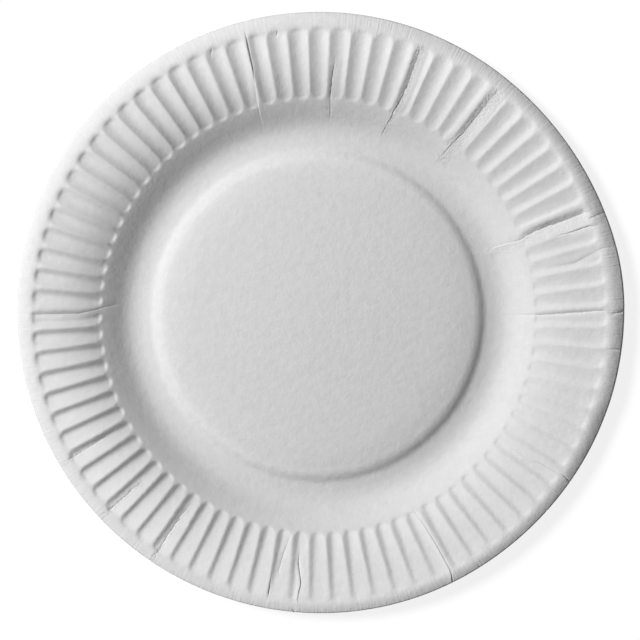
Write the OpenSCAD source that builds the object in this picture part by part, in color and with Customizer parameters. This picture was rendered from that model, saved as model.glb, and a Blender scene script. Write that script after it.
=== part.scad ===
// Round paper plate, pressed from one flat blank of uncoated paper board.
//
// One sheet of even thickness: a crowned centre, a rounded step down to a foot ring, a plain
// sloping wall, a band of closed flutes and a lip that rolls down at the edge. The flutes take
// up the board that the press gathers, and where there is too much of it, it lies in folds.
// Millimetres, +Z up, z = 0 under the foot ring, origin at the middle of the round blank.

/* [Board] */
// Thickness of the paper board
board_t = 0.45; // [0.3:0.05:0.8]

/* [Centre] */
// Radius of the gently crowned part of the centre
crown_r = 42; // [30:1:55]
// Rise of the crown above its own edge
crown_h = 2.1; // [0.5:0.1:4]
// Slope at the edge of the crown, in degrees
crown_slope = 5.5; // [1:0.5:9]
// Width of the shoulder between the crown and the step
shoulder_w = 16.8; // [10:0.2:24]
// Drop over the shoulder
shoulder_h = 2.6; // [1:0.1:4]
// Slope where the shoulder turns into the step, in degrees
shoulder_slope = 15; // [8:0.5:20]

/* [Step and foot] */
// Width of the upper, rounded-over half of the step
step_w = 3.9; // [2.5:0.1:6]
// Drop over the upper half of the step
step_h = 2.15; // [1:0.05:3]
// Steepest slope of the step, in degrees
step_slope = 42; // [25:1:50]
// Width of the hollow lower half of the step
hollow_w = 3.2; // [2:0.1:5]
// Drop over the lower half of the step
hollow_h = 1.4; // [0.8:0.1:2.2]
// Slope at the bottom of the step, in degrees
hollow_slope = 14.5; // [8:0.5:20]
// Width over which the board levels out to the foot ring
settle_w = 3.5; // [2:0.1:6]
// Drop over that width
settle_h = 0.5; // [0.2:0.05:1]
// Width of the flat foot ring
foot_w = 0.8; // [0.6:0.1:4]

/* [Wall] */
// Width of the curve from the foot ring up to the straight wall
toe_w = 6.4; // [4:0.2:9]
// Rise of that curve
toe_h = 2.25; // [1.2:0.05:3.5]
// Slope of the wall, in degrees
wall_slope = 31.5; // [20:0.5:45]
// Width of the wall above the curve
wall_w = 5.6; // [3:0.2:10]
// Rise of the wall above the curve
wall_h = 3.15; // [1.5:0.05:6]

/* [Fluted band] */
// Slope where the wall runs into the band, in degrees
brow_slope = 25; // [15:1:35]
// Width over which the band levels out
band_w = 21.8; // [15:0.2:30]
// Rise of the band
band_h = 3.95; // [2:0.05:6]
// Width of the level part, out to where the flutes close
rim_w = 5.4; // [3:0.2:10]
// Drop of the level part
rim_h = 0.1; // [0:0.05:0.5]
// Slope where the lip starts, in degrees
rim_slope = 3.5; // [0:0.5:8]
// Number of flutes
flute_n = 84; // [48:1:96]
// Depth of a flute below its ridges, where the press bore least
flute_depth = 0.68; // [0.4:0.02:1]
// How much deeper the flutes are where it bore most
flute_deeper = 0.9; // [0:0.05:1.2]
// Direction where they are deepest, in degrees
deep_dir = 170; // [0:5:355]
// Width of the steep side of a one-sided flute, as a share of the flute
steep_w = 0.29; // [0.2:0.01:0.5]
// Direction where both sides of a flute are alike, in degrees
even_dir = 95; // [0:5:355]
// Half width of that part of the plate, in degrees
even_half = 67; // [30:1:90]
// Length of the slope that closes a flute at each end
flute_end_w = 2.2; // [0.8:0.1:3]
// Direction of the first ridge, in degrees
first_ridge = 1.9; // [0:0.1:4]

/* [Lip] */
// Width of the lip, where it is even
lip_w = 5.3; // [4:0.1:9]
// Drop of the lip over that width
lip_h = 2.55; // [1:0.05:5]
// Slope of the lip at its edge, in degrees
lip_slope = 37.5; // [20:1:50]
// How much longer the blank is than it is wide, each way
blank_oval = 0.5; // [0:0.1:1]
// Direction of the blank's longer axis, in degrees
blank_dir = 170; // [0:1:180]
// How far the lip is pressed in where it has curled under
curl_in = 1.1; // [0:0.1:2]
// How far it is pulled down there
curl_down = 0.5; // [0:0.1:1]
// Direction of the curled part, in degrees
curl_dir = 42; // [0:1:359]
// Half width of the curled part, in degrees
curl_half = 26; // [8:1:40]
// How much less was left in the blank where it is trimmed closest
trim_in = 0.7; // [0:0.1:1.5]
// How much more was left where it is trimmed widest
trim_out = 0.5; // [0:0.1:1]

/* [Pressing] */
// How far the die sat off the middle of the blank in X
press_x = -1; // [-2:0.1:2]
// How far the die sat off the middle of the blank in Y
press_y = -1.2; // [-2:0.1:2]
// Height that a fold adds at its edge
fold_h = 0.35; // [0:0.05:0.6]
// Depth of the nick that a fold leaves in the lip
fold_nick = 0.5; // [0:0.1:1]

/* [Hidden] */

// Where each zone of the section ends, as radii from the middle of the die
shoulder_r = crown_r + shoulder_w;
step_r = shoulder_r + step_w;
hollow_r = step_r + hollow_w;
foot_in_r = hollow_r + settle_w;
foot_out_r = foot_in_r + foot_w;
toe_r = foot_out_r + toe_w;
wall_r = toe_r + wall_w;
band_r = wall_r + band_w;
rim_r = band_r + rim_w;
lip_r = rim_r + lip_w;

// The top of the board at the same places, above the surface that the plate stands on
foot_z = board_t;
hollow_z = foot_z + settle_h;
step_z = hollow_z + hollow_h;
shoulder_z = step_z + step_h;
crown_z = shoulder_z + shoulder_h;
toe_z = foot_z + toe_h;
wall_z = toe_z + wall_h;
band_z = wall_z + band_h;
rim_z = band_z - rim_h;
lip_z = rim_z - lip_h;

// The section's knots: radius, height of the top face and slope
knots = [
    [0, crown_z + crown_h, 0],
    [crown_r, crown_z, -tan(crown_slope)],
    [shoulder_r, shoulder_z, -tan(shoulder_slope)],
    [step_r, step_z, -tan(step_slope)],
    [hollow_r, hollow_z, -tan(hollow_slope)],
    [foot_in_r, foot_z, 0],
    [foot_out_r, foot_z, 0],
    [toe_r, toe_z, tan(wall_slope)],
    [wall_r, wall_z, tan(brow_slope)],
    [band_r, band_z, 0],
    [rim_r, rim_z, -tan(rim_slope)],
    [lip_r, lip_z, -tan(lip_slope)]
];

// Straight pieces that each curve of the turned section is drawn with
curve_steps = 6;

// The flutes run out from a point of their own, and the rim sits off the die a little, because
// the sheet crept while it was pressed. The blank's middle is the origin.
die_centre = [press_x, press_y];
flute_centre = [-0.2, -0.8];
rim_centre = [0.6, 0.2];
blank_centre = -die_centre;
pitch = 360 / flute_n;

// Places where the sheet has a line of points: on each side of a flute, from its ridge at 0 to
// its bottom at 1 and on to the next ridge at 2
fine_places = [0, 0.45, 1, 1.4, 1.72];
coarse_places = [0, 1.1];
// Middle of a flute's steep side, as a share of the pitch from where the flutes are counted
steep_middle = 0.215;

// Folds: direction in degrees, radius where each starts, and its height as a share of fold_h
folds = [
    [0.6, 84, 0.6],
    [20.9, 84, 1],
    [23.4, 90, 0.8],
    [52.4, 84, 0.9],
    [70.6, 84, 0.9],
    [87.9, 84, 0.8],
    [105.4, 84, 0.9],
    [179.2, 84, 0.8],
    [261.6, 84, 0.8],
    [264.9, 90, 1],
    [296.4, 84, 0.8],
    [326.6, 96, 0.7]
];
// Width across which a fold rises to its edge, and the width of the edge, in degrees
fold_rise = 1.4;
fold_edge = 0.14;

// The band starts this far inside the wall's end, and there lies just inside the wall's faces
lap_w = 0.6;
lap_inset = 0.06;

function mix(a, b, share) = a + (b - a) * share;
function limit(value) = min(1, max(0, value));
function ease(share) = (1 - cos(180 * limit(share))) / 2;
function direction(angle) = [cos(angle), sin(angle)];
function turn_between(a, b) = (a - b + 540) % 360 - 180;

// Height and slope of the section at radius r, on a cubic from knot to knot
function knot_before(r) = max([for (i = [0:len(knots) - 2]) if (r >= knots[i][0]) i]);
function section(r) =
    let (i = knot_before(max(0, r)), a = knots[i], b = knots[i + 1])
    let (w = b[0] - a[0], t = (r - a[0]) / w, climb = (b[1] - a[1]) / w)
    let (slope = a[2] * (1 - 4 * t + 3 * t * t) + b[2] * (3 * t * t - 2 * t)
        + climb * 6 * t * (1 - t))
    let (z = a[1] * (1 + 2 * t) * pow(1 - t, 2) + b[1] * t * t * (3 - 2 * t)
        + a[2] * w * t * pow(1 - t, 2) + b[2] * w * t * t * (t - 1))
    [z, slope];

// A point on the section, sunk at right angles into the board
function sunk(r, depth) =
    let (s = section(r), n = sqrt(1 + s[1] * s[1]))
    [r + depth * s[1] / n, s[0] - depth / n];

// The press bore unevenly, so depth and form of the flutes change round the plate. Each change
// is strongest in one direction and fades over a half width.
function swell(angle, strongest, half, power = 2) =
    exp(-pow(abs(turn_between(angle, strongest)) / half, power));
function even_sided(angle) = swell(angle, even_dir, even_half, 4);
function depth_there(r, angle) =
    let (grows = 0.05 + 0.27 * swell(angle, deep_dir - 30, 60) - 0.32 * swell(angle, 270, 38))
    flute_depth + flute_deeper * swell(angle, deep_dir, 74) + grows * (r - 93) / 13;

// Share of the pitch from a ridge to the bottom of its flute, and where the ridge lies
function bottom_there(r, angle) = steep_w + 0.15 * even_sided(angle) + 0.1 * swell(angle, 150, 45)
    + 0.17 * (1 - even_sided(angle)) * limit((wall_r + 16 - r) / 13);
function ridge_there(bottom, angle) = steep_middle - bottom / 2
    - 0.09 * swell(angle, 30, 30) + 0.09 * swell(angle, 125, 30);

// Depth of a flute at a share of the pitch from its ridge, as a share of its full depth: one
// steep side and one long ramp, or two hollow sides, or between the two
function flute_form(place, bottom, even) =
    let (back = (1 - place) / (1 - bottom))
    place < bottom
        ? ease(pow(place / bottom, 1 - even * 0.34))
        : mix(1 - pow(1 - back, 1.4), ease(pow(back, 0.68)), even);

function flute_place(angle) = (((angle - first_ridge) % 360 + 360) % 360) / pitch;
function flute_length(r) = ease((r - wall_r) / flute_end_w) * ease((rim_r - r) / flute_end_w);
function flute_sink(r, angle) =
    let (bottom = bottom_there(r, angle), place = flute_place(angle) - ridge_there(bottom, angle))
    depth_there(r, angle) * flute_length(r)
        * flute_form(place - floor(place), bottom, even_sided(angle));

// A fold lies up to its edge like the lap of a pleat, and ends in a nick in the lip
function fold_share(turn) =
    turn > fold_edge ? 0 : turn > 0 ? 1 - turn / fold_edge : limit(1 + turn / fold_rise);
function fold_lift(r, angle) = fold_h * max([for (f = folds)
    f[2] * fold_share(turn_between(angle, f[0])) * ease((r - f[1]) / 3)]);
function fold_pull(angle) = fold_nick * max([for (f = folds)
    f[2] * limit(1 - abs(turn_between(angle, f[0])) / 0.8)]);

// The edge of the blank, and how far the lip has curled under there
function curl(angle) = swell(angle, curl_dir, curl_half);
function blank_r(angle) = lip_r + blank_oval * cos(2 * (angle - blank_dir))
    - curl_in * curl(angle) - trim_in * swell(angle, 314, 24) + trim_out * swell(angle, 8, 12)
    - fold_pull(angle);

// Distance from the flutes' centre out to a ring of the sheet in one direction
function reach(r, centre, angle) = r + (centre - flute_centre) * direction(angle);
function rim_reach(angle) = reach(rim_r, rim_centre, angle);
function ring_reach(r, angle) = r > rim_r
    ? mix(rim_reach(angle), reach(blank_r(angle), blank_centre, angle), (r - rim_r) / lip_w)
    : reach(r, rim_centre * limit((r - wall_r) / (rim_r - wall_r)), angle);

// A point of the fluted sheet: radius in the section, direction, depth into the board
function sheet_point(r, angle, depth) =
    let (out = ring_reach(r, angle))
    let (q = r > rim_r ? rim_r + out - rim_reach(angle) : r)
    let (s = sunk(q, depth), share = limit((r - rim_r) / lip_w))
    let (plan = flute_centre + direction(angle) * (out + s[0] - q))
    [plan[0], plan[1], s[1] - flute_sink(r, angle) + fold_lift(r, angle)
        - curl_down * curl(angle) * share * share];

// Directions of the points in one ring, with two more at the edge of each fold. A point belongs
// to a ridge or a bottom, so it moves with the form of its flute.
function point_angle(flute, side) =
    let (angle = first_ridge + flute * pitch, bottom = bottom_there(wall_r + 14, angle))
    let (share = side < 1 ? side * bottom : bottom + (side - 1) * (1 - bottom))
    angle + (ridge_there(bottom, angle) + share) * pitch;
function clear_of_folds(angle) = min([for (f = folds)
    abs(turn_between(angle, f[0] + fold_edge / 2))]) > 0.02 * pitch + fold_edge / 2;
function sorted_turns(turns) = len(turns) < 2 ? turns :
    let (middle = turns[floor(len(turns) / 2)])
    concat(sorted_turns([for (turn = turns) if (turn < middle) turn]),
        [for (turn = turns) if (turn == middle) turn],
        sorted_turns([for (turn = turns) if (turn > middle) turn]));
function ring_angles(places) = sorted_turns(concat(
    [for (flute = [0:flute_n - 1], side = places)
        let (angle = point_angle(flute, side)) if (clear_of_folds(angle)) angle],
    [for (f = folds, edge = [0, fold_edge]) f[0] + edge + (f[0] < first_turn ? 360 : 0)]));

// The rings start just before the first ridge
first_turn = point_angle(0, 0) - 0.01;
fine = ring_angles(fine_places);
coarse = ring_angles(coarse_places);

// Rings of the fluted sheet from the wall to the edge: radius, depth below the face, directions
rings = [
    [wall_r - lap_w, lap_inset, coarse],
    [wall_r + flute_end_w / 3, 0, coarse],
    [wall_r + flute_end_w, 0, fine],
    [mix(wall_r, band_r, 0.35), 0, fine],
    [mix(wall_r, band_r, 0.68), 0, fine],
    [rim_r - flute_end_w, 0, fine],
    [rim_r, 0, coarse],
    [mix(rim_r, lip_r, 0.36), 0, coarse],
    [mix(rim_r, lip_r, 0.7), 0, coarse],
    [lip_r, 0, coarse]
];

// The rings go out over the top and come back underneath, and close on the first
belt = concat(
    [for (ring = rings) [ring[0], ring[1], ring[2]]],
    [for (i = [len(rings) - 1:-1:0]) [rings[i][0], board_t - rings[i][1], rings[i][2]]]
);
belt_sizes = [for (ring = belt) len(ring[2])];
belt_starts = [for (i = 0, start = 0; i < len(belt); start = start + belt_sizes[i], i = i + 1) start];

// Triangles between two rings, always taking the next point that comes first round the plate
function next_turn(angles, i) = angles[(i + 1) % len(angles)] + (i + 1 >= len(angles) ? 360 : 0);
function takes_first(a, b, i, j) =
    i < len(a) && (j >= len(b) || next_turn(a, i) <= next_turn(b, j));
function stitch(a, b, a0, b0) = [
    for (i = 0, j = 0, first = takes_first(a, b, 0, 0);
        i + j < len(a) + len(b);
        i = first ? i + 1 : i, j = first ? j : j + 1, first = takes_first(a, b, i, j))
    first
        ? [a0 + i, a0 + (i + 1) % len(a), b0 + j % len(b)]
        : [b0 + (j + 1) % len(b), b0 + j, a0 + i % len(a)]
];

module fluted_band() {
    polyhedron(
        points = [for (ring = belt) for (angle = ring[2]) sheet_point(ring[0], angle, ring[1])],
        faces = [for (i = [0:len(belt) - 1])
            let (k = (i + 1) % len(belt))
            each stitch(belt[i][2], belt[k][2], belt_starts[i], belt_starts[k])],
        convexity = 10
    );
}

// Radii at which the turned section has points, from the centre out to the wall's end
turned_radii = concat(
    [0],
    [for (i = [0:len(knots) - 1]) if (i > 0 && knots[i][0] <= wall_r)
        for (t = [1:curve_steps]) mix(knots[i - 1][0], knots[i][0], t / curve_steps)]
);

module centre_and_wall() {
    rotate_extrude($fn = 2 * flute_n)
        polygon(concat(
            [for (r = turned_radii) sunk(r, 0)],
            [for (i = [len(turned_radii) - 1:-1:0]) sunk(turned_radii[i], board_t)]
        ));
}

module plate() {
    color("whitesmoke")
        translate(die_centre) {
            centre_and_wall();
            fluted_band();
        }
}

plate();
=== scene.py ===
import math
from collections import namedtuple

import bpy
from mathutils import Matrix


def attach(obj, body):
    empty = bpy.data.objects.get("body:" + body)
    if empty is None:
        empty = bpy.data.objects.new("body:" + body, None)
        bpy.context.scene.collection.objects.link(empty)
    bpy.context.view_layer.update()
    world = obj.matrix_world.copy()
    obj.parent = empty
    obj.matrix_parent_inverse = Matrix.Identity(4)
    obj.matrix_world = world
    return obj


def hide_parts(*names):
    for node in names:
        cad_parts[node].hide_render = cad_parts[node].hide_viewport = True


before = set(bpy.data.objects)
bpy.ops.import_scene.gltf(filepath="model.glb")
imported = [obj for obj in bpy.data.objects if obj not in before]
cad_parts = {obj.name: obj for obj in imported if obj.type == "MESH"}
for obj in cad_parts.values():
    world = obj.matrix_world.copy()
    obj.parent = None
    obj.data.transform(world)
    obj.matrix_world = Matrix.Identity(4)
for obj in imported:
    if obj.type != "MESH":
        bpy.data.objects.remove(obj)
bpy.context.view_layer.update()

# Lengths below are millimetres, directions are degrees counted from +X towards +Y.
MM = 0.001

# The sheet, and where the press sat on the round blank
BOARD = 0.45
DIE_CENTRE = (-1.0, -1.2)
FLUTE_CENTRE = (-1.2, -2.0)
RIM_CENTRE = (-0.4, -1.0)

# The pressed section from the middle outwards: each zone's width, its climb, and the slope
# that it ends with
Zone = namedtuple("Zone", "name width climb slope")
ZONES = (
    Zone("crown", 42.0, -2.1, -5.5),
    Zone("shoulder", 16.8, -2.6, -15),
    Zone("step", 3.9, -2.15, -42),
    Zone("hollow", 3.2, -1.4, -14.5),
    Zone("settle", 3.5, -0.5, 0),
    Zone("foot", 0.8, 0, 0),
    Zone("toe", 6.4, 2.25, 31.5),
    Zone("wall", 5.6, 3.38, 25),
    Zone("band", 21.8, 3.72, 0),
    Zone("rim", 5.4, -0.1, -3.5),
    Zone("lip", 5.3, -2.55, -37.5),
)
ZONE_END = {}
for zone in ZONES:
    ZONE_END[zone.name] = sum(z.width for z in ZONES[:ZONES.index(zone) + 1])
CROWN_TOP = BOARD - sum(z.climb for z in ZONES[:5])

# The lip's curve goes on past its width, where the blank is wider, by up to this share of it
LIP_REACH = 1.4

# How uneven the sheet is
UNEVENNESS = 0.08
UNEVEN_FINENESS = 0.045
UNEVEN_FROM_FOOT = 20.0  # it grows over this length, from the foot outwards

# Flutes
FLUTES = 84
PITCH = 360 / FLUTES
FIRST_RIDGE = 1.9
FLUTES_START = ZONE_END["wall"] - 0.2
FLUTES_STOP = ZONE_END["rim"] + 0.6
FLUTE_DEPTH = 0.68

# A flute's steep side, in shares of the pitch
STEEP_WIDTH = 0.29
STEEP_MIDDLE = 0.215
WIDER_WHEN_EVEN = 0.15  # added where the flute is an even wave
WIDER_AT_WALL = 0.17  # added beside the wall
NARROWS_AFTER = 3.0  # from the flute's start to where that begins to fade
NARROWS_OVER = 13.0

# Powers that bend the curves of a flute's two sides
EVEN_FRONT = 0.34  # taken from 1 where the flute is an even wave
EVEN_BACK = 0.68
GENTLE_BACK = 1.4

# A flute's ends at the wall and at the rim: the slope that closes most of its depth, the share
# that it closes, and the longer slope that closes the rest
END_IN = 1.4
END_IN_SHARE = 0.85
END_IN_REST = 4.0
END_OUT = 2.2
END_OUT_SHARE = 0.7
END_OUT_REST = 5.0
FLUTE_CORNER = 1.6  # how round the corners are

# The share of a flute's depth at which its ends meet the wall and the rim
LEVEL_IN = 0.25
LEVEL_IN_LENGTH = 6.0
LEVEL_OUT = 0.25
LEVEL_OUT_LENGTH = 4.6

# How much the flutes vary from one to the next, and get deeper outwards
FLUTE_SEED = 7
WIDTH_VARIES = 0.02
DEPTH_VARIES = 0.08
DEEPER_OUT = 0.08
DEPTH_RADIUS = 93.0  # where the flutes have their plain depth
DEPTH_LENGTH = 13.0  # from there to where they are deeper by that much

# The press bore unevenly, so the flutes change round the plate. Each swell has the direction where
# it is strongest, its half width, a power that squares it, and an amount: a share of the pitch for
# a flute's steep side and ridge, and millimetres for its depth.
Swell = namedtuple("Swell", "direction half power amount")
EVEN_SIDED = Swell(95, 67, 4, 1.0)
BOTTOM_ON = Swell(150, 45, 2, 0.1)
RIDGE_SHIFT = 0.03
RIDGE_BACK = Swell(37, 48, 4, -0.095)
RIDGE_ON = Swell(155, 30, 2, 0.075)
DEEPEST = Swell(170, 74, 2, 0.78)
DEEPENS = Swell(140, 60, 2, 0.28)
SHALLOWS = Swell(275, 45, 2, -0.42)

# The blank's edge: a little oval, curled under on one side, standing up between cuts in the lip on
# another, and trimmed unevenly
BLANK_OVAL = 0.5
BLANK_DIRECTION = 170
CURL = Swell(42, 26, 2, 1.0)
CURL_IN = 1.1
CURL_DOWN = 0.5
LIP_UP = Swell(0.2, 18.1, 24, 0.7)
FLAP_UP = Swell(7.3, 6.0, 24, 0.35)
TRIM_IN = Swell(314, 24, 2, -0.7)
TRIM_OUT = Swell(8, 12, 2, 0.5)

# A crease runs through places, from its outer end to its inner end. Each place has a radius and a
# direction, seen from the blank's middle, and three depths there: of the valley that the sheet
# drops into across the crease, of the lap that stands up on one side of it, and of a narrow slit.
Place = namedtuple("Place", "radius direction valley lap slit", defaults=(0.0, 0.0, 0.0))

# Before and after are the valley's widths on its two sides, flat says how far the crease presses
# the flutes beside it flat, and ragged how far its line wanders. Side is 1 where the lap stands up
# before the crease's line and -1 where it stands up after it.
Crease = namedtuple("Crease", "before after flat ragged places side", defaults=(1.0,))
CREASES = (
    Crease(1.0, 1.0, 0, 0.2, (
        Place(115.1, 0.2, 0.3, 0.1, 0.15), Place(110.5, -0.5, 0.4, 0.15, 0.15),
        Place(109.3, -0.1, 0.1, 0, 0.05), Place(107.5, 0.3, 0.4, 0.1, 0.15),
        Place(95, -0.2, 0.55, 0.1, 0.2), Place(87, -0.6, 0.45, 0.05, 0.15),
        Place(81, -0.7, 0.25, 0, 0.15), Place(72, -0.7))),
    Crease(1.8, 0.9, 0.25, 0, (
        Place(114, 12.5), Place(110, 12.8, 0.15, 0, 0.1), Place(106, 12.2, 0.12),
        Place(99, 10.9, 0.3), Place(86, 11.2))),
    Crease(1, 1, 0, 0.08, (
        Place(112, 17.5), Place(109.7, 17.3, 0.12, 0, 0.15),
        Place(107, 17.3, 0.1, -0.35, 0.2), Place(101, 17.2, 0.1, -0.35, 0.2),
        Place(93, 17.4))),
    Crease(1, 1, 0, 0.3, (
        Place(115, 18.7, 0.2, 0, 0.1), Place(109.5, 18.9, 0.2, 0, 0.1), Place(107.5, 19.2))),
    Crease(4.6, 2.3, 0.9, 0.32, (
        Place(109.8, 20.5), Place(107.0, 20.4, 1.2, 0, 0), Place(95, 20.4, 1.7, 0, 0.05),
        Place(86, 20.2, 1.1, 0.1, 0.1), Place(81.7, 19.5, 0.5, 0.15, 0.3),
        Place(76, 19.9, 0.1, 0.3, 0.1), Place(72, 20.2, 0, 0.15, 0.1), Place(67.5, 19.0))),
    Crease(3.8, 2.2, 0.6, 0.45, (
        Place(110, 51.5), Place(106.5, 51.5, 0.5, 0.1, 0.05), Place(97, 51.5, 0.95, 0.1, 0.05),
        Place(89, 51.6, 0.85, 0.15, 0.1), Place(84, 52.0, 0.4, 0.25, 0.3),
        Place(80, 52.2, 0.15, 0.25, 0.3), Place(76, 52.3, 0, 0.15, 0.2),
        Place(73.5, 52.4)), -1.0),
    Crease(2.0, 1.7, 0.25, 0.45, (
        Place(110, 69.5), Place(106.5, 69.4, 0.3, 0.05, 0.05), Place(97, 69.1, 0.5, 0.1, 0.05),
        Place(89, 69.3, 0.5, 0.1, 0.1), Place(84, 69.8, 0.35, 0.15, 0.25),
        Place(80.5, 70.1, 0.15, 0.25, 0.3), Place(74, 71.0, 0, 0.15, 0.15),
        Place(72, 71.1)), -1.0),
    Crease(1.5, 1.5, 0.2, 0.3, (
        Place(98, 86.7), Place(93, 87.0, 0.15, -0.15, 0.08),
        Place(90, 87.2, 0.3, -0.1, 0.15), Place(83, 87.4, 0.3, 0, 0.15),
        Place(78, 87.2, 0.1, 0, 0.15), Place(73, 87.2))),
    Crease(0.6, 0.7, 0.2, 0.04, (
        Place(112, 105.2), Place(109, 105.2, 0.25, 0.4, 0.3), Place(97, 105.6, 0.2, 0.4, 0.2),
        Place(92, 106.0, 0.1, 0, 0.05), Place(86, 106.6, 0, -0.3, 0),
        Place(81.7, 106.9, 0, -0.2, 0), Place(74, 107.4)), -1.0),
    Crease(1.2, 1.2, 0.3, 0.06, (
        Place(110.5, 180.4, 0.1, 0, 0.03), Place(108, 180.5, 0.25, 0, 0.1),
        Place(91, 180.3, 0.3, 0, 0.1), Place(85.5, 179.6, 0.25, 0, 0.12),
        Place(80.5, 178.5, 0.2, 0, 0.12), Place(75.5, 177.6))),
    Crease(1.0, 1.5, 0, 0.35, (
        Place(114.5, 210.6), Place(111, 210.4, 0.03, 0, 0.06), Place(108.5, 210.4, 0.15, 0, 0.15),
        Place(97, 210.2, 0.22, 0, 0.12), Place(90, 210.0))),
    Crease(1.1, 1.5, 0, 0.5, (
        Place(114.5, 222.9), Place(110.5, 223.0, 0.04, 0, 0.1), Place(108, 223.2, 0.25, 0, 0.2),
        Place(98, 223.3, 0.28, 0, 0.2), Place(91, 223.5))),
    Crease(1.1, 1.4, 0, 0.5, (
        Place(114.5, 235.4), Place(111, 235.5, 0.03, 0, 0.08), Place(108.5, 235.7, 0.22, 0, 0.2),
        Place(94, 235.6, 0.25, 0, 0.25), Place(85, 235.9))),
    Crease(0.9, 1.3, 0, 0.3, (
        Place(101, 261.1), Place(97, 261.0, 0.2, 0, 0.1), Place(90, 261.7, 0.2, 0, 0.1),
        Place(83, 262.7))),
    Crease(0.9, 1.1, 0.15, 0.2, (
        Place(110.5, 265.9), Place(108, 265.8, 0, 0.25, 0), Place(105.5, 265.9, 0, 0.4, 0.25),
        Place(102, 266.4, 0.15, 0.45, 0.4), Place(95, 265.5, 0.25, 0.2, 0.4),
        Place(89, 265.3))),
    Crease(0.5, 0.5, 0, 0.3, (
        Place(115.3, 265.6, 0.2, 0, 0.35), Place(113.9, 264.9, 0.1, 0, 0.3), Place(112.8, 264.8))),
    Crease(0.4, 0.4, 0, 0, (
        Place(115.3, 256.8, 0.3, 0, 0.3), Place(114.2, 257.0, 0.1, 0, 0.2), Place(113, 257))),
    Crease(0.4, 0.4, 0, 0, (
        Place(114.6, 302, 0.2, 0, 0.3), Place(113.4, 302, 0.1, 0, 0.2), Place(112.4, 302))),
    Crease(0.4, 0.4, 0, 0.2, (
        Place(109, 98.7), Place(108.1, 98.9, 0.15, 0, 0.25), Place(106.5, 99.2))),
    Crease(0.4, 0.4, 0, 0.2, (
        Place(109.5, 112.4), Place(108.1, 112.7, 0.15, 0, 0.25), Place(106.5, 113.2))),
    Crease(0.8, 0.8, 0.1, 0.05, (
        Place(115, 295.9, 0.1, 0.35, 0.3), Place(110.5, 296.5, 0.1, 0.35, 0.3),
        Place(108, 296.6, 0.1, 0.35, 0.1), Place(97, 296.3, 0, 0.35, 0.05),
        Place(89, 295.8, 0, 0.3, 0.05), Place(80, 294.5))),
    Crease(0.8, 0.7, 0, 0.06, (
        Place(115, 325.6, 0.2, 0.3, 0.3), Place(110.5, 326.2, 0.2, 0.3, 0.3),
        Place(107.5, 325.8, 0.1, 0.35, 0.15), Place(100, 325.6, 0.1, 0.45, 0.25),
        Place(95, 324.8, 0.1, 0.4, 0.25), Place(91, 324.5, 0, 0.2, 0.1), Place(85, 324.2))),
    Crease(0.6, 0.6, 0, 0, (
        Place(115.2, 352.9, 0.3, 0, 0.1), Place(111, 352.7, 0.25, 0, 0.1),
        Place(109.5, 352.6))),
    Crease(0.8, 1.0, 0, 0, (
        Place(110, 260.2), Place(106.5, 260.2, 0.3, 0, 0.15), Place(99, 260.1))),
)

# How a crease is shaped
TURNS_FULLY = 0.8  # degrees of the sheet to each side that turn with the crease's line
TURN_FADES = 4.2  # degrees beyond those, over which the turn fades
CREASE_END_IN = 2.0
CREASE_END_OUT = 1.0
LAP_WIDTH = 1.3
LAP_EDGE = 0.14
SLIT_HALF = 0.18

# How its line wanders and how its edges are torn
WANDER = 2.0
WANDER_FINENESS = 0.55
WANDER_APART = 3.1  # keeps the noise of one crease apart from that of the next
TEAR = 0.8
TEAR_FINENESS = 2.2
TEAR_ACROSS = 1.5  # how much finer the tearing is across the crease than along it
TEAR_HALF = 1.2
TEAR_START = 73.0  # no crease is torn nearer to the middle
TEAR_STARTS_OVER = 4.0
TORN_GAIN = 4.0  # how quickly the valley's sides become torn surface

# How far to each side a crease beats the flutes flat: shares of its two widths, and a length more
BEATEN_BEFORE = 0.5
BEATEN_AFTER = 0.3
BEATEN_MORE = 0.6
BEATEN_FADES = 1.6

NOISE_DETAIL = 3.0

# Places of the sheet's columns of points: across a flute in shares of the pitch, and beside a
# crease in millimetres at one radius, where plain columns keep clear of it
FLUTE_PLACES = (0.0, 0.06, 0.12, 0.19, 0.26, 0.34, 0.43, 0.54, 0.66, 0.77, 0.87, 0.95)
CREASE_PLACES = (-1.0, -0.6, -0.3, -0.12, 0, 0.12, 0.3, 0.6, 1.0)
CREASE_RADIUS = 96
CREASE_CLEARANCE = 1.25
MIDDLE_COLUMNS = 3 * FLUTES


# Arithmetic with node sockets

class Field:
    """A socket inside a node tree, which adds, multiplies and compares like a number."""

    def __init__(self, tree, socket):
        self.tree = tree
        self.socket = socket

    def math(self, operation, *others, clamp=False):
        node = self.tree.nodes.new("ShaderNodeMath")
        node.operation = operation
        node.use_clamp = clamp
        for place, value in zip(node.inputs, (self, *others)):
            feed(self.tree, place, value)
        return Field(self.tree, node.outputs[0])

    def __add__(self, other):
        return self.math("ADD", other)

    def __sub__(self, other):
        return self.math("SUBTRACT", other)

    def __rsub__(self, other):
        return (self * -1) + other

    def __mul__(self, other):
        return self.math("MULTIPLY", other)

    def __truediv__(self, other):
        return self.math("DIVIDE", other)

    __radd__ = __add__
    __rmul__ = __mul__

    def limited(self):
        """The value kept between 0 and 1."""
        return self.math("ADD", 0.0, clamp=True)

    def eased(self):
        """0 to 1 with a soft start and end."""
        share = self.limited()
        return share * share * (3.0 - share * 2.0)

    def size(self):
        return self.math("ABSOLUTE")


def feed(tree, place, value):
    """Links a field to a socket, or sets a plain value on it."""
    if isinstance(value, Field):
        tree.links.new(value.socket, place)
    else:
        place.default_value = value


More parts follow.
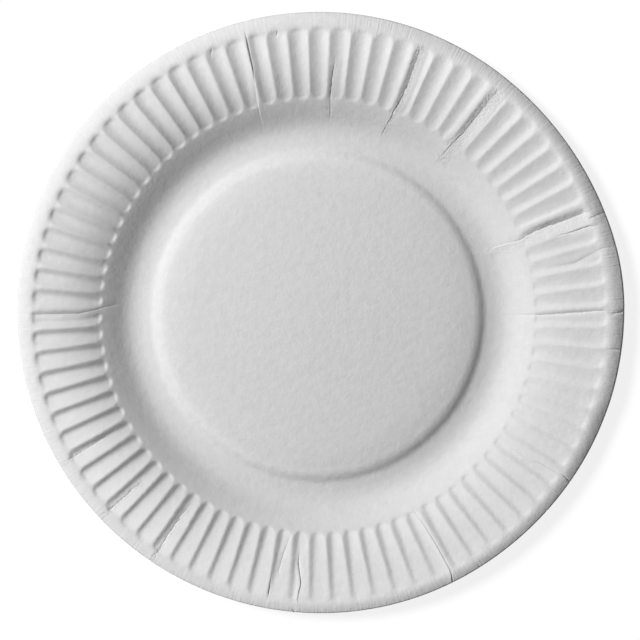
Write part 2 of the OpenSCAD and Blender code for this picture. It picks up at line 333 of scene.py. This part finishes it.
def node_group(name, inputs, outputs):
    """A new geometry group with number sockets, and its inputs as fields."""
    tree = bpy.data.node_groups.new(name, "GeometryNodeTree")
    for label in inputs:
        tree.interface.new_socket(label, in_out="INPUT", socket_type="NodeSocketFloat")
    for label in outputs:
        tree.interface.new_socket(label, in_out="OUTPUT", socket_type="NodeSocketFloat")
    source = tree.nodes.new("NodeGroupInput")
    return tree, [Field(tree, source.outputs[label]) for label in inputs]


def close_group(tree, results):
    """Links the results to the group's output."""
    sink = tree.nodes.new("NodeGroupOutput")
    for label, value in results.items():
        feed(tree, sink.inputs[label], value)


def use_group(tree, group, values):
    """A copy of a group in a tree, fed with values, and its outputs as fields."""
    node = tree.nodes.new("GeometryNodeGroup")
    node.node_tree = group
    for label, value in values.items():
        feed(tree, node.inputs[label], value)
    return [Field(tree, output) for output in node.outputs]


def noise(tree, x, y, fineness, seed=0.0):
    """Smooth noise around 0 at a place that two fields give."""
    place = tree.nodes.new("ShaderNodeCombineXYZ")
    feed(tree, place.inputs["X"], x)
    feed(tree, place.inputs["Y"], y)
    place.inputs["Z"].default_value = seed
    node = tree.nodes.new("ShaderNodeTexNoise")
    node.inputs["Scale"].default_value = fineness
    node.inputs["Detail"].default_value = NOISE_DETAIL
    tree.links.new(place.outputs[0], node.inputs["Vector"])
    return Field(tree, node.outputs[0]) - 0.5


# The pressing, as groups of nodes

def zone_group():
    """The climb that one zone of the section adds by a given radius, on a cubic."""
    tree, (radius, start, width, climb, slope_in, slope_out, reach) = node_group(
        "zone_climb",
        ("Radius", "Start", "Width", "Climb", "Slope in", "Slope out", "Reach"), ("Height",))
    share = (radius - start) / width
    share = share.math("MAXIMUM", 0.0).math("MINIMUM", reach)
    rest = 1.0 - share
    level = climb * share * share * (3.0 - share * 2.0)
    leaving = slope_in * width * share * rest * rest
    arriving = slope_out * width * share * share * rest
    close_group(tree, {"Height": level + leaving - arriving})
    return tree


def swell(direction, shape):
    """How much of a swell there is in a direction."""
    off = (direction + (540.0 - shape.direction)).math("MODULO", 360.0) - 180.0
    share = (off / shape.half).size().math("POWER", float(shape.power))
    return (share * -1.0).math("EXPONENT") * shape.amount


def flute_group():
    """How deep the flutes are at a place of the sheet. No two are quite alike."""
    tree, (direction, radius, count, first, depth, start, stop, lip_end) = node_group(
        "flutes", ("Direction", "Radius", "Count", "First ridge", "Depth", "Start", "Stop",
                   "Lip end"), ("Sink",))
    even_sided = swell(direction, EVEN_SIDED)
    one_sided = 1.0 - even_sided
    near_wall = 1.0 - ((radius - start - NARROWS_AFTER) / NARROWS_OVER).limited()
    bottom = even_sided * WIDER_WHEN_EVEN + swell(direction, BOTTOM_ON)
    bottom = bottom + one_sided * near_wall * WIDER_AT_WALL + STEEP_WIDTH
    ridge = swell(direction, RIDGE_BACK) + swell(direction, RIDGE_ON) + RIDGE_SHIFT
    ridge = ridge - bottom / 2.0
    turns = (direction - first) / 360.0 * count - (ridge + STEEP_MIDDLE)
    number = turns.math("FLOOR")
    place = turns - number
    uneven = tree.nodes.new("FunctionNodeRandomValue")
    uneven.data_type = "FLOAT"
    uneven.inputs["Seed"].default_value = FLUTE_SEED
    feed(tree, uneven.inputs["ID"], number)
    uneven.inputs[2].default_value = -1.0
    uneven.inputs[3].default_value = 1.0
    uneven = Field(tree, uneven.outputs[1])

    bottom = bottom + uneven * WIDTH_VARIES
    front = (place / bottom).limited().math("POWER", 1.0 - even_sided * EVEN_FRONT).eased()
    back = ((1.0 - place) / (1.0 - bottom)).limited()
    even_back = back.math("POWER", EVEN_BACK).eased()
    gentle_back = 1.0 - (1.0 - back).math("POWER", GENTLE_BACK)
    form = front.math("MINIMUM", even_back * even_sided + gentle_back * one_sided)

    corner = (place * 2.0 - 1.0).size().math("POWER", 2.0) * FLUTE_CORNER
    opening = ((radius - start - corner) / END_IN).eased() * END_IN_SHARE
    opening = opening + ((radius - start) / END_IN_REST).eased() * (1.0 - END_IN_SHARE)
    closing = ((stop - radius - corner) / END_OUT).eased() * END_OUT_SHARE
    closing = closing + ((stop - radius) / END_OUT_REST).eased() * (1.0 - END_OUT_SHARE)
    outwards = (radius - DEPTH_RADIUS) / DEPTH_LENGTH
    swelling = swell(direction, DEEPENS) + swell(direction, SHALLOWS) + DEEPER_OUT
    swelling = swelling * outwards + swell(direction, DEEPEST)
    sink = form * opening * closing
    from_wall = ((radius - start + LEVEL_IN_LENGTH) / LEVEL_IN_LENGTH).eased()
    from_edge = ((lip_end - radius) / LEVEL_OUT_LENGTH).eased()
    sink = sink + (1.0 - opening) * from_wall * LEVEL_IN
    sink = sink + (1.0 - closing) * from_edge * LEVEL_OUT
    close_group(tree, {"Sink": sink * (depth + swelling) * (uneven * DEPTH_VARIES + 1.0)})
    return tree


def stretch_group():
    """What a crease gains over one stretch of its way out, as the radius passes it."""
    tree, (radius, start, width, turn, valley, lap, slit) = node_group(
        "crease_stretch", ("Radius", "Start", "Width", "Turn", "Valley", "Lap", "Slit"),
        ("Turn", "Valley", "Lap", "Slit"))
    share = ((radius - start) / width).limited()
    close_group(tree, {"Turn": turn * share, "Valley": valley * share, "Lap": lap * share,
                       "Slit": slit * share})
    return tree


def crease_group():
    """One crease: how far it turns the columns of the sheet beside it, what it lifts, how much
    of the flutes it leaves, and how torn the board's surface is there."""
    tree, fields = node_group(
        "crease", ("Column", "Radius", "Home", "Path", "Outer", "Inner", "Valley", "Lap", "Slit",
                   "Before", "After", "Flat", "Ragged", "Side", "Seed"),
        ("Turn", "Lift", "Keep", "Torn"))
    (column, radius, home, path, outer, inner, valley, lap, slit,
     before, after, flat, ragged, side, seed) = fields
    apart = column - home
    away = apart.size()
    across = apart * radius * math.radians(1)
    wander = noise(tree, radius, seed * WANDER_APART, WANDER_FINENESS) * ragged * WANDER
    beside = 1.0 - ((away - TURNS_FULLY) / TURN_FADES).eased()
    within = ((radius - inner) / CREASE_END_IN).eased()
    within = within * ((outer - radius) / CREASE_END_OUT).eased()

    dip = (1.0 + across / before).limited().math("MINIMUM", (1.0 - across / after).limited())
    sided = across * side
    rise = (1.0 + sided / LAP_WIDTH).limited() * (1.0 - sided / LAP_EDGE).limited()
    cut = (1.0 - across.size() / SLIT_HALF).limited()
    tear = noise(tree, radius, across * TEAR_ACROSS + seed, TEAR_FINENESS) * ragged * within
    tear = tear * ((radius - TEAR_START) / TEAR_STARTS_OVER).eased()
    tear = tear * (1.0 - across.size() / TEAR_HALF).limited() * TEAR
    lift = lap * rise - valley * dip - slit * cut + tear
    beaten = before * BEATEN_BEFORE + after * BEATEN_AFTER + BEATEN_MORE
    keep = 1.0 - flat * within * (1.0 - ((across.size() - beaten) / BEATEN_FADES).eased())
    torn = (dip * TORN_GAIN).limited() * ragged * within
    close_group(tree, {"Turn": (path + wander) * beside, "Lift": lift, "Keep": keep,
                       "Torn": torn})
    return tree


def turn_from_blank(radius, direction):
    """The direction from the flutes' centre of a point given from the blank's middle."""
    x = radius * math.cos(math.radians(direction)) - FLUTE_CENTRE[0]
    y = radius * math.sin(math.radians(direction)) - FLUTE_CENTRE[1]
    return math.degrees(math.atan2(y, x)) % 360


def crease_home(crease):
    """The direction from the flutes' centre of the column of points that a crease follows."""
    turns = [turn_from_blank(place.radius, place.direction) for place in crease.places]
    first = turns[0]
    offsets = [turn_between(turn, first) for turn in turns]
    return (first + (min(offsets) + max(offsets)) / 2) % 360


def turn_between(first, second):
    """The turn from the second direction to the first, by the short way."""
    return (first - second + 540) % 360 - 180


def pressing_tree():
    """The press: it takes a flat blank and gives it the section, flutes, creases and edge."""
    tree = bpy.data.node_groups.new("pressed_plate", "GeometryNodeTree")
    interface = tree.interface
    interface.new_socket("Blank", in_out="INPUT", socket_type="NodeSocketGeometry")
    for label in ("Flute count", "First ridge", "Flute depth", "Crown top", "Crease depth",
                  "Unevenness"):
        interface.new_socket(label, in_out="INPUT", socket_type="NodeSocketFloat")
    interface.new_socket("Material", in_out="INPUT", socket_type="NodeSocketMaterial")
    interface.new_socket("Plate", in_out="OUTPUT", socket_type="NodeSocketGeometry")
    source = tree.nodes.new("NodeGroupInput")
    inputs = {socket.name: Field(tree, socket) for socket in source.outputs if socket.name}

    position = tree.nodes.new("GeometryNodeInputPosition")
    parts = tree.nodes.new("ShaderNodeSeparateXYZ")
    tree.links.new(position.outputs[0], parts.inputs[0])
    x = Field(tree, parts.outputs["X"]) / MM
    y = Field(tree, parts.outputs["Y"]) / MM
    radius = (x * x + y * y).math("SQRT")
    column = y.math("ARCTAN2", x) / math.radians(1)
    column = column + column.math("LESS_THAN", 0.0) * 360.0

    lift, turn, keep, torn = add_creases(tree, column, radius)
    direction = column + turn
    blank_radius, curl = edge_of_blank(direction)
    reach, section_radius = plan_of_sheet(tree, direction, radius, blank_radius)

    height = add_zones(tree, section_radius, inputs["Crown top"])
    sink = use_group(tree, flute_group(), {
        "Direction": direction, "Radius": radius, "Count": inputs["Flute count"],
        "First ridge": inputs["First ridge"], "Depth": inputs["Flute depth"],
        "Start": FLUTES_START, "Stop": FLUTES_STOP, "Lip end": ZONE_END["lip"]})[0]
    lip_share = ((radius - ZONE_END["rim"]) / ZONES[-1].width).limited()
    uneven = noise(tree, x, y, UNEVEN_FINENESS, seed=3.0) * inputs["Unevenness"] * 3.0
    uneven = uneven * ((radius - ZONE_END["foot"] - 2.0) / UNEVEN_FROM_FOOT).eased()
    height = (height - sink * keep + lift * inputs["Crease depth"]
              - curl * CURL_DOWN * lip_share * lip_share + uneven
              + swell(direction, LIP_UP) * lip_share
              + swell(direction, FLAP_UP) * lip_share * lip_share)

    place = tree.nodes.new("ShaderNodeCombineXYZ")
    angle = direction * math.radians(1)
    feed(tree, place.inputs["X"], (angle.math("COSINE") * reach + FLUTE_CENTRE[0]) * MM)
    feed(tree, place.inputs["Y"], (angle.math("SINE") * reach + FLUTE_CENTRE[1]) * MM)
    feed(tree, place.inputs["Z"], height * MM)

    mark = tree.nodes.new("GeometryNodeStoreNamedAttribute")
    mark.inputs["Name"].default_value = "torn"
    feed(tree, mark.inputs["Geometry"], inputs["Blank"])
    feed(tree, mark.inputs["Value"], torn)
    press = tree.nodes.new("GeometryNodeSetPosition")
    tree.links.new(mark.outputs[0], press.inputs["Geometry"])
    tree.links.new(place.outputs[0], press.inputs["Position"])
    smooth = tree.nodes.new("GeometryNodeSetShadeSmooth")
    tree.links.new(press.outputs[0], smooth.inputs[0])
    real = tree.nodes.new("GeometryNodeRealizeInstances")
    tree.links.new(smooth.outputs[0], real.inputs[0])
    finish = tree.nodes.new("GeometryNodeSetMaterial")
    tree.links.new(real.outputs[0], finish.inputs["Geometry"])
    feed(tree, finish.inputs["Material"], inputs["Material"])
    result = tree.nodes.new("NodeGroupOutput")
    tree.links.new(finish.outputs[0], result.inputs["Plate"])
    return tree


def add_zones(tree, radius, crown_top):
    """The height of the section at a radius: the climb of every zone, one after another."""
    group = zone_group()
    height = crown_top
    start = 0.0
    slope_in = 0.0
    for zone in ZONES:
        slope_out = math.tan(math.radians(zone.slope))
        height = height + use_group(tree, group, {
            "Radius": radius, "Start": start, "Width": zone.width, "Climb": zone.climb,
            "Slope in": slope_in, "Slope out": slope_out,
            "Reach": LIP_REACH if zone.name == "lip" else 1.0})[0]
        start += zone.width
        slope_in = slope_out
    return height


def add_creases(tree, column, radius):
    """The lift, turn, flute share and torn surface that all creases together give."""
    stretch = stretch_group()
    group = crease_group()
    lift, turn, keep, torn = 0.0, 0.0, 1.0, 0.0
    for number, crease in enumerate(CREASES):
        home = crease_home(crease)
        places = sorted(crease.places)
        path, valley, lap, slit = (
            turn_between(turn_from_blank(places[0].radius, places[0].direction), home),
            places[0].valley, places[0].lap, places[0].slit)
        for inner, outer in zip(places, places[1:]):
            gains = use_group(tree, stretch, {
                "Radius": radius, "Start": inner.radius, "Width": outer.radius - inner.radius,
                "Turn": turn_between(turn_from_blank(outer.radius, outer.direction),
                                     turn_from_blank(inner.radius, inner.direction)),
                "Valley": outer.valley - inner.valley, "Lap": outer.lap - inner.lap,
                "Slit": outer.slit - inner.slit})
            path, valley = gains[0] + path, gains[1] + valley
            lap, slit = gains[2] + lap, gains[3] + slit
        one_turn, one_lift, one_keep, one_torn = use_group(tree, group, {
            "Column": column, "Radius": radius, "Home": home, "Path": path,
            "Outer": places[-1].radius + 0.5, "Inner": places[0].radius,
            "Valley": valley, "Lap": lap, "Slit": slit, "Before": crease.before,
            "After": crease.after, "Flat": crease.flat, "Ragged": crease.ragged,
            "Side": crease.side, "Seed": float(number)})
        lift = one_lift + lift
        turn = one_turn + turn
        keep = one_keep * keep
        torn = one_torn + torn
    return lift, turn, keep, torn


def edge_of_blank(direction):
    """The blank's radius in a direction, and how much its edge is curled under there."""
    curl = swell(direction, CURL)
    oval = ((direction - BLANK_DIRECTION) * math.radians(2)).math("COSINE") * BLANK_OVAL
    trimmed = swell(direction, TRIM_IN) + swell(direction, TRIM_OUT)
    return oval + trimmed + ZONE_END["lip"] - curl * CURL_IN, curl


def plan_of_sheet(tree, direction, radius, blank_radius):
    """How far from the flutes' centre a point lies, and its radius in the section."""
    angle = direction * math.radians(1)
    cosine = angle.math("COSINE")
    sine = angle.math("SINE")

    def offset(centre):
        along_x = cosine * (centre[0] - FLUTE_CENTRE[0])
        return along_x + sine * (centre[1] - FLUTE_CENTRE[1])

    crept = ((radius - ZONE_END["wall"]) / (ZONE_END["rim"] - ZONE_END["wall"])).limited()
    die, rim = offset(DIE_CENTRE), offset(RIM_CENTRE)
    pressed = radius + die + (rim - die) * crept
    rim_reach = rim + ZONE_END["rim"]
    lip_share = ((radius - ZONE_END["rim"]) / ZONES[-1].width).limited()
    lip_width = blank_radius + offset((0, 0)) - rim_reach
    on_lip = radius.math("GREATER_THAN", ZONE_END["rim"])
    reach = pressed * (1.0 - on_lip) + (rim_reach + lip_width * lip_share) * on_lip
    section_radius = radius * (1.0 - on_lip) + (lip_width * lip_share + ZONE_END["rim"]) * on_lip
    return reach, section_radius


# The flat blank

def columns_of_blank(plain, creases):
    """Directions of a ring's points: the plain ones, and closer ones beside the creases."""
    homes = [crease_home(crease) for crease in creases]
    spread = math.degrees(1 / CREASE_RADIUS)
    near = CREASE_CLEARANCE * spread
    columns = [c % 360 for c in plain
               if all(abs(turn_between(c, home)) > near for home in homes)]
    for number, home in enumerate(homes):
        for place in CREASE_PLACES:
            column = (home + place * spread) % 360
            earlier = homes[:number]
            if all(abs(turn_between(column, other)) > near for other in earlier):
                columns.append(column)
    return sorted(columns)


def spread_rings(start, stop, count):
    """Radii after start up to stop, evenly spaced."""
    return [start + (stop - start) * step / count for step in range(1, count + 1)]


def blank_rings():
    """The rings of the blank, each as its radius and the directions of its points."""
    middle = [360 * step / MIDDLE_COLUMNS for step in range(MIDDLE_COLUMNS)]
    on_wall = [crease for crease in CREASES if crease.places[-1].radius < ZONE_END["wall"] - 4]
    wall = columns_of_blank(middle, on_wall)
    flutes = columns_of_blank([FIRST_RIDGE + (flute + place) * PITCH for flute in range(FLUTES)
                               for place in FLUTE_PLACES], CREASES)
    end = ZONE_END
    centre = spread_rings(0, end["crown"], 6) + spread_rings(end["crown"], end["shoulder"], 6)
    centre += spread_rings(end["shoulder"], end["hollow"], 12)
    slope = spread_rings(end["hollow"], end["settle"], 3) + [end["foot"]]
    slope += spread_rings(end["foot"], end["wall"] - 0.6, 11)
    rim = [FLUTES_START] + spread_rings(FLUTES_START, end["wall"] + 2.8, 6)
    rim += spread_rings(end["wall"] + 2.8, end["rim"] - 3.0, 14)
    rim += spread_rings(end["rim"] - 3.0, end["rim"], 6)
    rim += spread_rings(end["rim"], end["lip"] - 0.6, 5) + [end["lip"]]
    return ([(radius, middle) for radius in centre] + [(radius, wall) for radius in slope]
            + [(radius, flutes) for radius in rim])


def stitch(inner, outer):
    """Triangles between two rings of (direction, point) pairs, going once round."""
    faces = []
    i = j = 0
    while i < len(inner) or j < len(outer):
        next_in = inner[(i + 1) % len(inner)][0] + 360 * ((i + 1) // len(inner))
        next_out = outer[(j + 1) % len(outer)][0] + 360 * ((j + 1) // len(outer))
        a, b = inner[i % len(inner)][1], outer[j % len(outer)][1]
        if i < len(inner) and (j >= len(outer) or next_in <= next_out):
            faces.append((a, b, inner[(i + 1) % len(inner)][1]))
            i += 1
        else:
            faces.append((a, b, outer[(j + 1) % len(outer)][1]))
            j += 1
    return faces


def flat_blank():
    """The unpressed sheet as rings of points round the flutes' centre."""
    points = [(0.0, 0.0, 0.0)]
    faces = []
    before = None
    for radius, columns in blank_rings():
        first = len(points)
        ring = []
        for number, column in enumerate(columns):
            angle = math.radians(column)
            points.append((radius * MM * math.cos(angle), radius * MM * math.sin(angle), 0.0))
            ring.append((column, first + number))
        if before is None:
            faces += [(0, ring[n][1], ring[(n + 1) % len(ring)][1]) for n in range(len(ring))]
        elif len(before) == len(ring):
            for n in range(len(ring)):
                after = (n + 1) % len(ring)
                faces.append((before[n][1], ring[n][1], ring[after][1], before[after][1]))
        else:
            faces += stitch(before, ring)
        before = ring
    mesh = bpy.data.meshes.new("blank")
    mesh.from_pydata(points, [], faces)
    mesh.update()
    return mesh


# Finish

# The board's own grey varies in faint clouds, and light and shade are painted into it by rings,
# lighter at the top of the step and towards the rim and darker at the foot of the wall: each a
# radius from the die's middle and how much painted light there is there.
CLOUD_GREYS = (0.76, 0.816)
PAINTED_LIGHT_RINGS = ((0, 0.36), (46, 0.39), (56.5, 0.43), (59.9, 0.66), (61.8, 0.38), (66, 0.23),
             (71.4, 0.09), (74.5, 0.04), (80.6, 0.15), (86, 0.15), (91, 0.28), (97.3, 0.49),
             (103.4, 0.7), (108.5, 0.92), (115, 0.83))
PAINTED_LIGHT_REACH = 120
PAINTED_LIGHT_GAIN = (0.93, 1.14)

# The smudge on the raised centre: where it is, how far it reaches and how grey it is
SMUDGE = (-0.5, 44.9, 7.4)
SMUDGE_REACH = 2.0
SMUDGE_GREY = 0.9

# Roughness of the surface, in metres: how high the fibres, the felt, the lines across the lip and
# the torn fibres stand
FIBRES = 0.00008
FELT = 0.00034
LIP_LINES = 0.0004
TORN_FIBRES = 0.0006


def paper():
    """Uncoated white plate board: matt, with light and shade painted into its colour by rings
    (lighter at the top of the step and towards the rim, darker at the foot of the wall), a fine
    felted surface and faint cloudiness."""
    material = bpy.data.materials.new("uncoated_board")
    material.use_nodes = True
    nodes, links = material.node_tree.nodes, material.node_tree.links
    shader = nodes["Principled BSDF"]
    shader.inputs["Roughness"].default_value = 0.92
    shader.inputs["Specular IOR Level"].default_value = 0.18
    place = nodes.new("ShaderNodeTexCoord").outputs["Object"]

    def vector(operation, source, other=None):
        node = nodes.new("ShaderNodeVectorMath")
        node.operation = operation
        links.new(source, node.inputs[0])
        if other is not None:
            node.inputs[1].default_value = other
        return node

    def board_noise(source, scale, detail, roughness=0.5):
        node = nodes.new("ShaderNodeTexNoise")
        node.inputs["Scale"].default_value = scale
        node.inputs["Detail"].default_value = detail
        node.inputs["Roughness"].default_value = roughness
        links.new(source, node.inputs["Vector"])
        return node.outputs["Fac"]

    def grey_ramp(share, stops):
        node = nodes.new("ShaderNodeValToRGB")
        for _ in stops[2:]:
            node.color_ramp.elements.new(0.5)
        for element, (position, grey) in zip(node.color_ramp.elements, stops):
            element.position = position
            element.color = (grey, grey, grey, 1)
        links.new(share, node.inputs["Fac"])
        return node.outputs["Color"]

    def ranged(value, start, stop, low, high, kind="LINEAR"):
        node = nodes.new("ShaderNodeMapRange")
        node.interpolation_type = kind
        for label, number in (("From Min", start), ("From Max", stop), ("To Min", low),
                              ("To Max", high)):
            node.inputs[label].default_value = number
        links.new(value, node.inputs["Value"])
        return node.outputs["Result"]

    def multiplied(first, second):
        node = nodes.new("ShaderNodeMix")
        node.data_type = "RGBA"
        node.blend_type = "MULTIPLY"
        node.inputs["Factor"].default_value = 1.0
        links.new(first, node.inputs["A"])
        links.new(second, node.inputs["B"])
        return node.outputs["Result"]

    def bump(height, distance, under=None):
        node = nodes.new("ShaderNodeBump")
        node.inputs["Distance"].default_value = distance
        links.new(height, node.inputs["Height"])
        if under is not None:
            links.new(under, node.inputs["Normal"])
        return node

    cloud = grey_ramp(board_noise(place, 260, 6, 0.7),
                      ((0.3, CLOUD_GREYS[0]), (0.7, CLOUD_GREYS[1])))

    from_die = vector("SUBTRACT", place, (DIE_CENTRE[0] * MM, DIE_CENTRE[1] * MM, 0))
    flat = vector("MULTIPLY", from_die.outputs[0], (1 / MM, 1 / MM, 0))
    distance = vector("LENGTH", flat.outputs[0]).outputs["Value"]
    share = nodes.new("ShaderNodeMath")
    share.operation = "DIVIDE"
    share.inputs[1].default_value = PAINTED_LIGHT_REACH
    links.new(distance, share.inputs[0])
    # painted light and shade: the colour is made lighter at the top of the step and towards the
    # rim, and darker at the foot of the wall
    painted_light = grey_ramp(share.outputs[0], [(radius / PAINTED_LIGHT_REACH, amount)
                                           for radius, amount in PAINTED_LIGHT_RINGS])
    colour = multiplied(cloud, ranged(painted_light, 0, 1, *PAINTED_LIGHT_GAIN))

    from_smudge = vector("DISTANCE", place, [length * MM for length in SMUDGE])
    smudged = ranged(from_smudge.outputs["Value"], 0, SMUDGE_REACH * MM, SMUDGE_GREY, 1,
                     "SMOOTHSTEP")
    links.new(multiplied(colour, smudged), shader.inputs["Base Color"])

    fibres = bump(board_noise(place, 1300, 4, 0.65), FIBRES)
    fibres.inputs["Strength"].default_value = 0.6
    felt = bump(board_noise(place, 380, 4, 0.6), FELT, fibres.outputs["Normal"])
    felt.inputs["Strength"].default_value = 0.6

    # the board is stretched over the lip, where its fibres stand as fine lines across the edge
    outwards = vector("NORMALIZE", flat.outputs[0])
    stretch = bump(board_noise(outwards.outputs[0], 150, 3), LIP_LINES, felt.outputs["Normal"])
    links.new(ranged(distance, 106, 112, 0, 0.5), stretch.inputs["Strength"])

    # where a crease has broken the board's surface, torn fibres stand up
    torn = nodes.new("ShaderNodeAttribute")
    torn.attribute_name = "torn"
    broken = bump(board_noise(place, 900, 5, 0.7), TORN_FIBRES, stretch.outputs["Normal"])
    links.new(ranged(torn.outputs["Fac"], 0.08, 0.5, 0, 1), broken.inputs["Strength"])
    links.new(broken.outputs["Normal"], shader.inputs["Normal"])
    return material


def set_inputs(modifier, tree, values):
    """Sets a modifier's inputs by the identifier of each socket."""
    for item in tree.interface.items_tree:
        if item.in_out == "INPUT" and item.name in values:
            modifier[item.identifier] = values[item.name]


def pressed_plate(material):
    """The plate: a flat blank put through the press, then given its thickness."""
    blank = bpy.data.objects.new("blank", flat_blank())
    bpy.context.collection.objects.link(blank)
    tree = pressing_tree()
    press = blank.modifiers.new("press", "NODES")
    press.node_group = tree
    set_inputs(press, tree, {
        "Flute count": float(FLUTES), "First ridge": FIRST_RIDGE, "Flute depth": FLUTE_DEPTH,
        "Crown top": CROWN_TOP, "Crease depth": 1.0, "Unevenness": UNEVENNESS,
        "Material": material})
    board = blank.modifiers.new("board", "SOLIDIFY")
    board.thickness = BOARD * MM
    board.offset = -1
    board.use_rim = True
    mesh = bpy.data.meshes.new_from_object(
        blank.evaluated_get(bpy.context.evaluated_depsgraph_get()))
    bpy.data.objects.remove(blank)
    plate = bpy.data.objects.new("pressed_plate", mesh)
    mesh.name = "pressed_plate"
    bpy.context.collection.objects.link(plate)
    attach(plate, "root")
    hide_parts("plate")
    return plate


# Stage, light and camera

def white_floor(half_width, shadow_grey, glow, bounce_grey):
    """A white floor, which glows to pure white for the camera and keeps a faint shadow of the
    plate."""
    corners = ((-1, -1), (1, -1), (1, 1), (-1, 1))
    mesh = bpy.data.meshes.new("floor")
    mesh.from_pydata([(x * half_width, y * half_width, 0) for x, y in corners],
                     [], [(0, 1, 2, 3)])
    floor = bpy.data.objects.new("floor", mesh)
    bpy.context.collection.objects.link(floor)
    material = bpy.data.materials.new("white_floor")
    material.use_nodes = True
    nodes, links = material.node_tree.nodes, material.node_tree.links
    nodes.clear()
    shaded = nodes.new("ShaderNodeBsdfDiffuse")
    shaded.inputs["Color"].default_value = (shadow_grey, shadow_grey, shadow_grey, 1)
    glowing = nodes.new("ShaderNodeEmission")
    glowing.inputs["Strength"].default_value = glow
    seen = nodes.new("ShaderNodeAddShader")
    links.new(shaded.outputs[0], seen.inputs[0])
    links.new(glowing.outputs[0], seen.inputs[1])
    lit = nodes.new("ShaderNodeBsdfDiffuse")
    lit.inputs["Color"].default_value = (bounce_grey, bounce_grey, bounce_grey, 1)
    ray = nodes.new("ShaderNodeLightPath")
    choice = nodes.new("ShaderNodeMixShader")
    links.new(ray.outputs["Is Camera Ray"], choice.inputs[0])
    links.new(lit.outputs[0], choice.inputs[1])
    links.new(seen.outputs[0], choice.inputs[2])
    result = nodes.new("ShaderNodeOutputMaterial")
    links.new(choice.outputs[0], result.inputs["Surface"])
    mesh.materials.append(material)


def soft_light(direction, elevation, strength, softness):
    """A sun lamp that stands for a large soft studio light."""
    lamp = bpy.data.lights.new("studio_light", "SUN")
    lamp.energy = strength
    lamp.angle = math.radians(softness)
    light = bpy.data.objects.new("studio_light", lamp)
    bpy.context.collection.objects.link(light)
    light.rotation_euler = (0, math.radians(90 - elevation), math.radians(direction))


def surroundings(camera_white, fill):
    """White where the camera looks past the floor, and an even fill light elsewhere."""
    world = bpy.data.worlds.new("studio")
    bpy.context.scene.world = world
    world.use_nodes = True
    nodes, links = world.node_tree.nodes, world.node_tree.links
    nodes.clear()
    white = nodes.new("ShaderNodeBackground")
    white.inputs["Strength"].default_value = camera_white
    grey = nodes.new("ShaderNodeBackground")
    grey.inputs["Strength"].default_value = fill
    ray = nodes.new("ShaderNodeLightPath")
    choice = nodes.new("ShaderNodeMixShader")
    links.new(ray.outputs["Is Camera Ray"], choice.inputs[0])
    links.new(grey.outputs[0], choice.inputs[1])
    links.new(white.outputs[0], choice.inputs[2])
    result = nodes.new("ShaderNodeOutputWorld")
    links.new(choice.outputs[0], result.inputs["Surface"])


def overhead_camera(photo_size, blank_middle, pixel, height, rim_height):
    """Straight above the plate, with the plate where the photograph has it. A pixel is given in
    millimetres at the rim's height."""
    camera_data = bpy.data.cameras.new("camera")
    camera_data.lens = camera_data.sensor_width * (height - rim_height) / (photo_size * pixel)
    camera = bpy.data.objects.new("camera", camera_data)
    bpy.context.collection.objects.link(camera)
    camera.location = ((photo_size / 2 - blank_middle[0]) * pixel * MM,
                       (blank_middle[1] - photo_size / 2) * pixel * MM, height * MM)
    bpy.context.scene.camera = camera


pressed_plate(paper())
white_floor(half_width=3.0, shadow_grey=0.2, glow=0.86, bounce_grey=0.7)
soft_light(direction=157, elevation=44, strength=3.34, softness=20)
surroundings(camera_white=1.25, fill=0.03)
overhead_camera(photo_size=640, blank_middle=(320.7, 312.3), pixel=230.5 / 607, height=1300,
                rim_height=8)
bpy.context.scene.view_settings.view_transform = "Standard"
